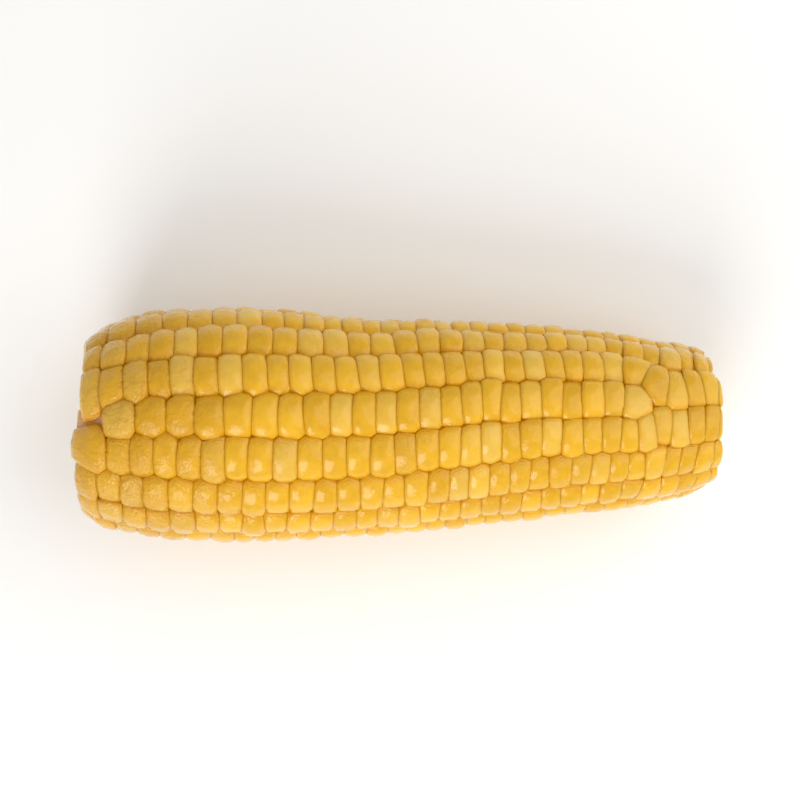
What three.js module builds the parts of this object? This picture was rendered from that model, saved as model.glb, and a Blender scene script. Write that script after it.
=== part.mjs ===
// An ear of sweet corn, husked, cooked and cut across at both ends, lying on its side.
// Millimetres, +Z up. The thick end points along -X and the tip along +X.
// Kernel angles are measured round the ear's axis, in degrees, from straight up towards +Y.
import * as THREE from 'three';

// The two knife cuts, along the ear's axis
const BUTT_CUT = -72;
const TIP_CUT = 72.2;

// Radius to the kernel crowns, as [place along the axis, radius]
const CROWN_RADIUS = [
  [-72, 18.6], [-67, 22.6], [-57, 25.6], [-42, 26.8], [-28, 26.6], [-13, 25.3],
  [6, 24.4], [28, 22.7], [46, 21], [60, 18.9], [67, 17.1], [72.2, 15],
];

// Radius of the woody core, as [place along the axis, radius]
const CORE_RADIUS = [[-72, 11.8], [-40, 13.2], [20, 11.6], [72.2, 7.6]];

// How far the ear's axis strays sideways, as [place along the axis, stray towards +Y]
const AXIS_STRAY = [[-72, -0.8], [-60, 0], [-30, 0], [-5, -0.5], [28, 0.4], [60, 0.5], [72.2, 1.1]];

// How the ear rests: the axis dips towards the slimmer tip, and the lowest crowns are pressed flat
const AXIS_DIP = THREE.MathUtils.degToRad(3.2);
const PRESSED_FLAT = 1.2;

// Clearance between the kernels' roots and the core
const FIT_GAP = 0.3;

// Kernel length along a row: at the middle of the ear, and how much it shrinks for each millimetre on
const KERNEL_LENGTH = 4.85;
const KERNEL_SHRINK = 0.0135;

// Kernel shape: valley depth as a share of the crown radius, extra depth where three kernels meet,
// drop of the rounded shoulder, and how far out from the kernel's middle the shoulder lies
const VALLEY_SHARE = 0.1;
const CORNER_EXTRA = 1.22;
const SHOULDER_DROP = 0.5;
const SHOULDER_REACH = 0.66;

// How unlike each other the kernels are: along the row, round the ear and in height
const SCATTER_ALONG = 0.2;
const SCATTER_ROUND = 0.9;
const SCATTER_HEIGHT = 0.28;

// A kernel is still there as a slice when its middle lies at most this far beyond a cut
const END_SLICE = 1.2;

// The missing kernel at the thick end leaves a socket this deep below the crowns
const SOCKET_DEPTH = 6.2;
const SOCKET_ROW = 3;

// Rows seen from above, from the +Y side down to the -Y side. angle: at each of ANGLE_PLACES.
// shift: how many kernels the row is shifted along, at each of SHIFT_PLACES. end: where a row stops
const ANGLE_PLACES = [-62, -20, 20, 50, 58, 71];
const SHIFT_PLACES = [-66, -54, -40, -25, -10, 8, 26, 44, 60];
const SEEN_ROWS = [
  {
    angle: [65, 72, 79, 82, 84, 90],
    shift: [0.76, 0.83, 0.86, 0.81, 0.31, -0.36, -0.87, -0.77, -0.75],
    end: Infinity,
  },
  {
    angle: [45, 50.5, 59.5, 63.5, 61, 60],
    shift: [0.63, 0.48, 0.29, 0.42, 0.58, 0.76, 0.95, 1.15, 1.21],
    end: Infinity,
  },
  {
    angle: [23.5, 29, 38, 39.5, 25, 28],
    shift: [0.65, 0.38, 0.2, 0.1, 0.03, -0.1, -0.3, -0.26, 0.33],
    end: Infinity,
  },
  {
    angle: [3.5, 6, 13.5, 15, 15, 15],
    shift: [-0.33, 0.1, 0.4, 0.67, 0.73, 0.68, 0.46, 0.68, 1.16],
    end: 54,
  },
  {
    angle: [-15, -17, -11, -7.5, -3.5, -3],
    shift: [0.9, 0.73, 0.47, 0.39, 0.53, 0.58, 0.49, 0.62, 0.35],
    end: Infinity,
  },
  {
    angle: [-37.5, -41, -35, -31, -31, -33],
    shift: [0.45, 0.22, 0.14, 0.07, 0.1, 0.11, -0.04, 0.09, 0.02],
    end: Infinity,
  },
  {
    angle: [-59, -62.5, -58, -54, -57, -63],
    shift: [0.43, 0.23, 0.16, 0, -0.02, -0.17, -0.28, -0.21, 0.1],
    end: Infinity,
  },
];

// Rows on the underside are spread evenly between the outermost seen rows, and three of them stop early.
// The lean, at each of ANGLE_PLACES, sets two of them side by side under the ear's weight
const HIDDEN_ROWS = 9;
const HIDDEN_LEAN = [8.5, 6.5, 2, 1, 0, 0];
const HIDDEN_ENDS = new Map([[1, 50], [4, 56], [7, 46]]);
const HIDDEN_SHIFT_STEP = 0.5;
const HIDDEN_SHIFT_SCATTER = 0.2;

// Facets: sides round the core, and steps along it
const CORE_SIDES = 28;
const CORE_PLACES = [BUTT_CUT, -40, 20, TIP_CUT];

// The core's cut faces dip in a little over the soft pith
const PITH_SHARE = 0.42;
const PITH_DIP = 0.6;

// Working values of the cell pattern: how wide one radian counts beside one millimetre along the ear,
// corners nearer than this become one, and sides longer than this get a middle point
const ROUND_WEIGHT = 16;
const CORNER_MERGE = 0.55;
const LONG_SIDE = 4.6;
const REACH_ALONG = 12;
const REACH_ROUND = THREE.MathUtils.degToRad(50);

const FULL_TURN = 2 * Math.PI;

// A repeatable draw between -1 and 1 for a whole number
function draw(index) {
  const value = Math.sin(index * 12.9898 + 78.233) * 43758.5453;
  return 2 * (value - Math.floor(value)) - 1;
}

// A smooth curve through [place, value] points, level past both ends
function curveAt(points, place) {
  const last = points.length - 1;
  if (place <= points[0][0]) {
    return points[0][1];
  }
  if (place >= points[last][0]) {
    return points[last][1];
  }
  let k = 0;
  while (points[k + 1][0] < place) {
    k += 1;
  }
  const slope = (i) => {
    const low = Math.max(i - 1, 0);
    const high = Math.min(i + 1, last);
    return (points[high][1] - points[low][1]) / (points[high][0] - points[low][0]);
  };
  const span = points[k + 1][0] - points[k][0];
  const t = (place - points[k][0]) / span;
  const s = 1 - t;
  return points[k][1] * (1 + 2 * t) * s * s + slope(k) * span * t * s * s
    + points[k + 1][1] * (1 + 2 * s) * t * t - slope(k + 1) * span * s * t * t;
}

function pairs(places, values) {
  return places.map((place, k) => [place, values[k]]);
}

// Kernels passed between the middle of the ear and a place along it
function kernelsPassed(place) {
  return -Math.log(1 - KERNEL_SHRINK * place / KERNEL_LENGTH) / KERNEL_SHRINK;
}

// All rows round the ear, the seen ones first and then the hidden ones, from -Y under to +Y
function allRows() {
  const rows = SEEN_ROWS.map((row) => ({
    angle: pairs(ANGLE_PLACES, row.angle),
    shift: pairs(SHIFT_PLACES, row.shift),
    end: row.end,
  }));
  const first = SEEN_ROWS[SEEN_ROWS.length - 1];
  const final = SEEN_ROWS[0];
  let survivors = 0;
  for (let k = 0; k < HIDDEN_ROWS; k += 1) {
    const stops = HIDDEN_ENDS.has(k);
    if (!stops) {
      survivors += 1;
    }
    const lasting = HIDDEN_ROWS - HIDDEN_ENDS.size;
    const angle = ANGLE_PLACES.map((place, i) => {
      const full = final.angle[i] - 360 - first.angle[i];
      const early = (k + 1) / (HIDDEN_ROWS + 1);
      const late = (survivors - (stops ? 0.5 : 0)) / (lasting + 1);
      const lateness = Math.max(0, i - ANGLE_PLACES.length + 3) / 2;
      const lean = HIDDEN_LEAN[i] * Math.sin(Math.PI * early);
      return first.angle[i] + full * (early + lateness * (late - early)) + lean;
    });
    const shift = SHIFT_PLACES.map((place, i) => (
      first.shift[i] + (k + 1) * HIDDEN_SHIFT_STEP + HIDDEN_SHIFT_SCATTER * draw(900 + 10 * k + i)
    ));
    rows.push({
      angle: pairs(ANGLE_PLACES, angle),
      shift: pairs(SHIFT_PLACES, shift),
      end: HIDDEN_ENDS.get(k) ?? Infinity,
    });
  }
  return rows;
}

// Every kernel's middle, found by walking along its row
function kernelSeeds() {
  const seeds = [];
  allRows().forEach((row, rowIndex) => {
    const countAt = (place) => kernelsPassed(place) - curveAt(row.shift, place);
    const lastPlace = Math.min(TIP_CUT + END_SLICE, row.end);
    let wanted = Math.ceil(countAt(BUTT_CUT - END_SLICE) - 0.5) + 0.5;
    let order = 0;
    while (wanted <= countAt(lastPlace)) {
      let low = BUTT_CUT - 2 * END_SLICE;
      let high = TIP_CUT + 2 * END_SLICE;
      for (let step = 0; step < 40; step += 1) {
        const middle = (low + high) / 2;
        if (countAt(middle) < wanted) {
          low = middle;
        } else {
          high = middle;
        }
      }
      const tag = rowIndex * 100 + order;
      const along = low + SCATTER_ALONG * draw(tag);
      const round = curveAt(row.angle, low) + SCATTER_ROUND * draw(tag + 3000);
      seeds.push({
        along,
        round: THREE.MathUtils.degToRad(round),
        rise: SCATTER_HEIGHT * draw(tag + 6000),
        missing: rowIndex === SOCKET_ROW && order === 0,
      });
      wanted += 1;
      order += 1;
    }
  });
  return seeds;
}

// Cuts a cell by a straight line. A corner is { x, y, side }, where side names the edge that leaves it
function clipCell(cell, middle, normal, side) {
  const result = [];
  cell.forEach((from, k) => {
    const to = cell[(k + 1) % cell.length];
    const a = (from.x - middle.x) * normal.x + (from.y - middle.y) * normal.y;
    const b = (to.x - middle.x) * normal.x + (to.y - middle.y) * normal.y;
    const crossing = () => {
      const t = a / (a - b);
      return { x: from.x + t * (to.x - from.x), y: from.y + t * (to.y - from.y) };
    };
    if (a <= 0) {
      result.push(from);
      if (b > 0) {
        result.push({ ...crossing(), side });
      }
    } else if (b <= 0) {
      result.push({ ...crossing(), side: from.side });
    }
  });
  return result;
}

// The ground that one kernel takes on the unrolled ear: all places nearer to it than to any other
function kernelCell(seeds, index) {
  const seed = seeds[index];
  const home = { x: seed.along, y: ROUND_WEIGHT * seed.round };
  const left = Math.max(home.x - REACH_ALONG, BUTT_CUT);
  const right = Math.min(home.x + REACH_ALONG, TIP_CUT);
  const low = home.y - ROUND_WEIGHT * REACH_ROUND;
  const high = home.y + ROUND_WEIGHT * REACH_ROUND;
  let cell = [
    { x: left, y: low, side: 'round' },
    { x: right, y: low, side: right === TIP_CUT ? 'cut' : 'along' },
    { x: right, y: high, side: 'round' },
    { x: left, y: high, side: left === BUTT_CUT ? 'cut' : 'along' },
  ];
  seeds.forEach((other, k) => {
    if (k === index || Math.abs(other.along - seed.along) > 2 * REACH_ALONG) {
      return;
    }
    const turns = Math.round((seed.round - other.round) / FULL_TURN);
    const there = { x: other.along, y: ROUND_WEIGHT * (other.round + turns * FULL_TURN) };
    const middle = { x: (home.x + there.x) / 2, y: (home.y + there.y) / 2 };
    cell = clipCell(cell, middle, { x: there.x - home.x, y: there.y - home.y }, 'kernel');
  });
  return cell;
}

// Joins the corners that neighbouring cells share, and drops sides that shrink to nothing
function sharedCorners(cells) {
  const corners = [];
  const apart = (a, b) => {
    const turn = ROUND_WEIGHT * FULL_TURN;
    const across = Math.abs(a.y - b.y) % turn;
    return Math.hypot(a.x - b.x, Math.min(across, turn - across));
  };
  const find = (corner) => {
    const found = corners.findIndex((known) => apart(known, corner) < CORNER_MERGE);
    if (found >= 0) {
      return found;
    }
    corners.push(corner);
    return corners.length - 1;
  };
  const onCut = (corner) => corner.x === BUTT_CUT || corner.x === TIP_CUT;
  cells.flat().filter(onCut).forEach(find);
  const rings = cells.map((cell) => {
    const ring = cell.map((corner) => ({ id: find(corner), side: corner.side }));
    return ring.filter((item, k) => item.id !== ring[(k + 1) % ring.length].id);
  });
  return { corners, rings };
}

// Where a point of the ear lies: along the axis, round it and out from it
const axisHeight = (() => {
  let highest = 0;
  for (let place = BUTT_CUT; place <= TIP_CUT; place += 0.5) {
    const below = curveAt(CROWN_RADIUS, place) * Math.cos(AXIS_DIP) + place * Math.sin(AXIS_DIP);
    highest = Math.max(highest, below);
  }
  return highest - PRESSED_FLAT;
})();

function earPoint(along, round, radius) {
  const up = radius * Math.cos(round);
  const x = along * Math.cos(AXIS_DIP) + up * Math.sin(AXIS_DIP);
  const y = radius * Math.sin(round) + curveAt(AXIS_STRAY, along);
  const z = axisHeight - along * Math.sin(AXIS_DIP) + up * Math.cos(AXIS_DIP);
  return new THREE.Vector3(x, y, Math.max(z, 0));
}

// A mesh that is built from numbered points and triangles
class Shell {
  constructor() {
    this.points = [];
    this.triangles = [];
  }

  point(along, round, radius) {
    this.points.push({ along, round, radius });
    return this.points.length - 1;
  }

  triangle(a, b, c) {
    if (a !== b && b !== c && c !== a) {
      this.triangles.push([a, b, c]);
    }
  }

  // Fills the strip between two closed rings that go the same way round, the second one inside
  strip(outer, inner) {
    outer.forEach((a, k) => {
      const b = outer[(k + 1) % outer.length];
      const c = inner[(k + 1) % inner.length];
      const d = inner[k];
      this.triangle(a, b, c);
      this.triangle(a, c, d);
    });
  }

  fan(ring, middle) {
    ring.forEach((a, k) => this.triangle(a, ring[(k + 1) % ring.length], middle));
  }

  // Sides of the mesh that only one triangle has, as a map from each side's start to its end
  openSides() {
    const ends = new Map();
    const key = (a, b) => `${a}:${b}`;
    this.triangles.forEach(([a, b, c]) => {
      [[a, b], [b, c], [c, a]].forEach(([from, to]) => {
        if (!ends.delete(key(to, from))) {
          ends.set(key(from, to), [from, to]);
        }
      });
    });
    return new Map([...ends.values()]);
  }

  geometry() {
    const flat = this.points.flatMap((p) => earPoint(p.along, p.round, p.radius).toArray());
    const geometry = new THREE.BufferGeometry();
    geometry.setAttribute('position', new THREE.Float32BufferAttribute(flat, 3));
    geometry.setIndex(this.triangles.flat());
    return geometry;
  }
}

// Raises the kernels: a valley ring that neighbours share, a shoulder ring and the crown
function raiseKernels(shell, seeds) {
  const { corners, rings } = sharedCorners(seeds.map((seed, k) => kernelCell(seeds, k)));
  const crown = (along) => curveAt(CROWN_RADIUS, along);
  const valley = (along, extra) => crown(along) * (1 - VALLEY_SHARE * extra);
  const cornerPoints = corners.map(({ x, y }) => (
    shell.point(x, y / ROUND_WEIGHT, valley(x, CORNER_EXTRA))
  ));
  const middlePoints = new Map();

  rings.forEach((ring, index) => {
    const seed = seeds[index];
    const nearSeed = (round) => round + FULL_TURN * Math.round((seed.round - round) / FULL_TURN);
    const spots = ring.map(({ id, side }) => ({
      id,
      side,
      along: corners[id].x,
      round: nearSeed(corners[id].y / ROUND_WEIGHT),
    }));
    const outer = [];
    spots.forEach((spot, k) => {
      const next = spots[(k + 1) % spots.length];
      const cut = spot.side === 'cut' && spot.along === next.along;
      const between = (share) => ({
        along: spot.along + share * (next.along - spot.along),
        round: spot.round + share * (next.round - spot.round),
      });
      outer.push({ ...spot, point: cornerPoints[spot.id], drop: SHOULDER_DROP });
      if (cut) {
        [0.2, 0.5, 0.8].forEach((share) => {
          const spotBetween = between(share);
          const drop = share === 0.5 ? 0 : SHOULDER_DROP;
          const depth = seed.missing ? SOCKET_DEPTH : drop - seed.rise;
          const radius = crown(spotBetween.along) - depth;
          const point = shell.point(spotBetween.along, spotBetween.round, radius);
          outer.push({ ...spotBetween, point, drop: drop / 2 });
        });
        return;
      }
      const middle = between(0.5);
      const width = crown(middle.along) * (next.round - spot.round);
      if (Math.hypot(next.along - spot.along, width) > LONG_SIDE) {
        const key = [spot.id, next.id].sort((a, b) => a - b).join(':');
        if (!middlePoints.has(key)) {
          middlePoints.set(key, shell.point(middle.along, middle.round, valley(middle.along, 1)));
        }
        outer.push({ ...middle, point: middlePoints.get(key), drop: SHOULDER_DROP });
      }
    });

    const along = outer.reduce((sum, spot) => sum + spot.along, 0) / outer.length;
    const round = outer.reduce((sum, spot) => sum + spot.round, 0) / outer.length;
    const inner = outer.map((spot) => {
      const placeAlong = along + SHOULDER_REACH * (spot.along - along);
      const placeRound = round + SHOULDER_REACH * (spot.round - round);
      const depth = seed.missing ? SOCKET_DEPTH : spot.drop - seed.rise;
      return shell.point(placeAlong, placeRound, crown(placeAlong) - depth);
    });
    const top = crown(along) - (seed.missing ? SOCKET_DEPTH : -seed.rise);
    shell.strip(outer.map((spot) => spot.point), inner);
    shell.fan(inner, shell.point(along, round, top));
  });
}

// One ring of points round the axis
function ringPoints(shell, along, radius) {
  return Array.from({ length: CORE_SIDES }, (unused, k) => (
    shell.point(along, k * FULL_TURN / CORE_SIDES, radius)
  ));
}

// Fills a cut face between the kernels' outline and the bore, walking both by angle
function fillCut(shell, rim, bore, facing) {
  const turnOf = (id) => ((shell.points[id].round % FULL_TURN) + FULL_TURN) % FULL_TURN;
  const sorted = (ring) => [...ring].sort((a, b) => turnOf(a) - turnOf(b));
  const outer = sorted(rim);
  const inner = sorted(bore);
  const turnAt = (ring, k) => turnOf(ring[k % ring.length]) + FULL_TURN * Math.floor(k / ring.length);
  const face = facing > 0
    ? (a, b, c) => shell.triangle(a, c, b)
    : (a, b, c) => shell.triangle(a, b, c);
  let i = 0;
  let j = 0;
  while (i < outer.length || j < inner.length) {
    const a = outer[i % outer.length];
    const d = inner[j % inner.length];
    const stepOuter = j >= inner.length
      || (i < outer.length && turnAt(outer, i + 1) <= turnAt(inner, j + 1));
    if (stepOuter) {
      face(a, outer[(i + 1) % outer.length], d);
      i += 1;
    } else {
      face(a, inner[(j + 1) % inner.length], d);
      j += 1;
    }
  }
}

// The kernels: one sleeve with a bore for the core
function kernelSleeve() {
  const shell = new Shell();
  raiseKernels(shell, kernelSeeds());
  const rimPoints = [...shell.openSides().keys()];
  const buttRim = rimPoints.filter((id) => shell.points[id].along === BUTT_CUT);
  const tipRim = rimPoints.filter((id) => shell.points[id].along === TIP_CUT);
  const bores = CORE_PLACES.map((place) => (
    ringPoints(shell, place, curveAt(CORE_RADIUS, place) + FIT_GAP)
  ));
  bores.slice(1).forEach((bore, k) => shell.strip(bores[k], bore));
  fillCut(shell, buttRim, bores[0], -1);
  fillCut(shell, tipRim, bores[bores.length - 1], 1);
  return shell.geometry();
}

// The core: a tapering woody rod whose cut faces dip over the pith
function coreRod() {
  const shell = new Shell();
  const rings = CORE_PLACES.map((place) => ringPoints(shell, place, curveAt(CORE_RADIUS, place)));
  rings.slice(1).forEach((ring, k) => shell.strip(ring, rings[k]));
  const closeEnd = (ring, place, inward) => {
    const radius = curveAt(CORE_RADIUS, place) * PITH_SHARE;
    const pith = ringPoints(shell, place + inward * PITH_DIP, radius);
    const middle = shell.point(place + inward * PITH_DIP, 0, 0);
    if (inward < 0) {
      shell.strip(pith, ring);
      shell.fan([...pith].reverse(), middle);
    } else {
      shell.strip(ring, pith);
      shell.fan(pith, middle);
    }
  };
  closeEnd(rings[0], BUTT_CUT, 1);
  closeEnd(rings[rings.length - 1], TIP_CUT, -1);
  return shell.geometry();
}

const kernelSkin = new THREE.MeshStandardMaterial({ color: 0xe8b93c, roughness: 0.35, metalness: 0 });
const coreWood = new THREE.MeshStandardMaterial({ color: 0xe3cfa0, roughness: 0.85, metalness: 0 });

function namedMesh(name, geometry, material) {
  const mesh = new THREE.Mesh(geometry, material);
  mesh.name = name;
  return mesh;
}

// The ear stands over the origin: its box is centred there and its lowest crowns touch the ground
const ear = new THREE.Group();
ear.add(namedMesh('kernels', kernelSleeve(), kernelSkin));
ear.add(namedMesh('cob_core', coreRod(), coreWood));
const extent = new THREE.Box3().setFromObject(ear);
const centre = extent.getCenter(new THREE.Vector3());
ear.position.set(-centre.x, -centre.y, -extent.min.z);

const model = new THREE.Group();
model.add(ear);

export default model;
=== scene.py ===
"""An ear of sweet corn, husked, cooked and cut across at both ends, lying on its side.

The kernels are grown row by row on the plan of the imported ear: each one is a copy of a kernel modelled
once, fitted to its own place between its neighbours. The cob inside shows at the two cut ends.
"""

import logging
import math
from collections.abc import Callable, Sequence
from dataclasses import dataclass, field
from enum import Enum

import bpy
import numpy as np
from bpy.types import (
    Material, Mesh, MeshPolygon, Node, NodeSocket, NodeTree, Object, bpy_prop_collection,
)
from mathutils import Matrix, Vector


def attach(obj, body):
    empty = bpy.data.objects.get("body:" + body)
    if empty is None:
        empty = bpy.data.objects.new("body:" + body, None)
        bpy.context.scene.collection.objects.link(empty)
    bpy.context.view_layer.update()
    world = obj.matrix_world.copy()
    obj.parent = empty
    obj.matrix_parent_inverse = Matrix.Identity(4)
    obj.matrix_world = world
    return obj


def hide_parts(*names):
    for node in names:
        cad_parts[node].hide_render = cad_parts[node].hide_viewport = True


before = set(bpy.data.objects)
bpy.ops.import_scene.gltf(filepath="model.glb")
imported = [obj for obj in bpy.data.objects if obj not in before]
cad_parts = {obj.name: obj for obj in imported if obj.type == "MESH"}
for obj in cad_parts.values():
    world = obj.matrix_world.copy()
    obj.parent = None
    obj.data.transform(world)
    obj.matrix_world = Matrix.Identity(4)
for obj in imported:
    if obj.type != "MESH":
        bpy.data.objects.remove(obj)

LOG = logging.getLogger("corn")
MM = 0.001
FULL_TURN = 2 * math.pi

# The ear's radius that kernel sizes are given for, in millimetres. Thinner parts have smaller kernels
STANDARD_RADIUS = 26
# A place nearer to a cut than this lies on it, in millimetres
ON_CUT = 0.02
# A face looks along an axis when its normal has more than this of it
FACING = 0.5
# Edges that are turned more than this stay sharp where the bed and the cob are shaded smooth
CREASE = math.radians(50)
# Farther than any side of a kernel's cell, in millimetres
FAR = 1e9
# What a ray may at least have of a direction before its length is divided by it
LEAST = 1e-6
# How many numbers apart the draws of neighbouring rows start
ROW_STEP = 100
HIDDEN_ROW_STEP = 10

Points = Sequence[tuple[float, float]]
Corner = tuple[float, float, str]
Triple = tuple[float, float, float]
Colour = tuple[float, float, float, float]
CellSide = tuple[np.ndarray, float, float]
Inputs = dict[str | int, object]


class Side(str, Enum):
    """What lies beyond one side of a kernel's cell."""

    KERNEL = "kernel"
    SOCKET = "socket"
    CUT = "cut"
    OPEN = "open"


class Face(int, Enum):
    """Material slots of a row of kernels."""

    SKIN = 0
    FLESH = 1


class Tag(int, Enum):
    """What a draw decides. Each use counts its draws from a number of its own."""

    ALONG = 0
    BUTT_END = 50
    TIP_END = 70
    PALE = 400
    RIPE = 500
    WRINKLED = 700
    SWAY = 800
    HIDDEN_SHIFT = 900
    ROUND = 3000
    HEIGHT = 6000
    TILT_ALONG = 9000
    TILT_ROUND = 9500


def draw(index: float) -> float:
    """Returns a repeatable draw between -1 and 1 for a whole number."""
    value = math.sin(index * 12.9898 + 78.233) * 43758.5453
    return 2 * (value - math.floor(value)) - 1


def curve_at(points: Points, place: float) -> float:
    """Reads a smooth curve, level past both ends.

    Args:
        points: the curve's (place, value) points, in order.
        place: where to read it.

    Returns:
        The curve's value there.
    """
    last = len(points) - 1
    if place <= points[0][0]:
        return points[0][1]
    if place >= points[last][0]:
        return points[last][1]
    k = 0
    while points[k + 1][0] < place:
        k += 1

    def slope(i: int) -> float:
        """Returns the curve's slope at its point i."""
        low, high = max(i - 1, 0), min(i + 1, last)
        return (points[high][1] - points[low][1]) / (points[high][0] - points[low][0])

    span = points[k + 1][0] - points[k][0]
    t = (place - points[k][0]) / span
    s = 1 - t
    rise = points[k][1] * (1 + 2 * t) * s * s + slope(k) * span * t * s * s
    fall = points[k + 1][1] * (1 + 2 * s) * t * t - slope(k + 1) * span * s * t * t
    return rise + fall


def smooth_step(low: float, high: float, value: np.ndarray) -> np.ndarray:
    """Returns 0 below low, 1 above high and a smooth rise between."""
    t = np.clip((value - low) / (high - low), 0, 1)
    return t * t * (3 - 2 * t)


@dataclass
class EarForm:
    """The ear's overall form, in millimetres along and out from its own axis."""

    butt_cut: float = -72.0
    tip_cut: float = 72.2
    crown_radius: Points = (
        (-72, 18.6), (-67, 22.6), (-57, 25.6), (-42, 26.8), (-28, 26.6), (-13, 25.3),
        (6, 24.4), (28, 22.7), (46, 21), (60, 18.9), (67, 17.1), (72.2, 15),
    )
    core_radius: Points = ((-72, 11.8), (-40, 13.2), (20, 11.6), (72.2, 7.6))
    axis_stray: Points = (
        (-72, -0.8), (-60, 0), (-30, 0), (-5, -0.5), (28, 0.4), (60, 0.5), (72.2, 1.1),
    )
    axis_dip: float = math.radians(3.2)
    pressed_flat: float = 1.2
    fit_gap: float = 0.3
    axis_height: float = field(init=False)

    def __post_init__(self) -> None:
        """Finds how high the axis lies when the lowest crowns are pressed flat on the ground."""
        places = np.arange(self.butt_cut, self.tip_cut, 0.5)
        below = [self.crown(p) * math.cos(self.axis_dip) + p * math.sin(self.axis_dip) for p in places]
        self.axis_height = max(below) - self.pressed_flat

    def crown(self, along: float) -> float:
        """Returns the radius to the kernel crowns."""
        return curve_at(self.crown_radius, along)

    def core(self, along: float) -> float:
        """Returns the radius of the woody core."""
        return curve_at(self.core_radius, along)

    def point(self, along: float, turn: float, radius: float) -> Vector:
        """Places a point of the ear in the scene.

        Args:
            along: place along the axis, in millimetres.
            turn: angle round the axis from straight up towards +Y, in radians.
            radius: distance out from the axis, in millimetres.

        Returns:
            The point in metres, never below the ground.
        """
        up = radius * math.cos(turn)
        x = along * math.cos(self.axis_dip) + up * math.sin(self.axis_dip)
        y = radius * math.sin(turn) + curve_at(self.axis_stray, along)
        z = self.axis_height - along * math.sin(self.axis_dip) + up * math.cos(self.axis_dip)
        return Vector((x, y, max(z, 0))) * MM


@dataclass
class Kernel:
    """One kernel's place on the ear, and the number that its draws are counted from."""

    row: int
    tag: int
    along: float
    turn: float
    rise: float
    missing: bool
    cell: list[Corner] = field(default_factory=list)


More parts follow.
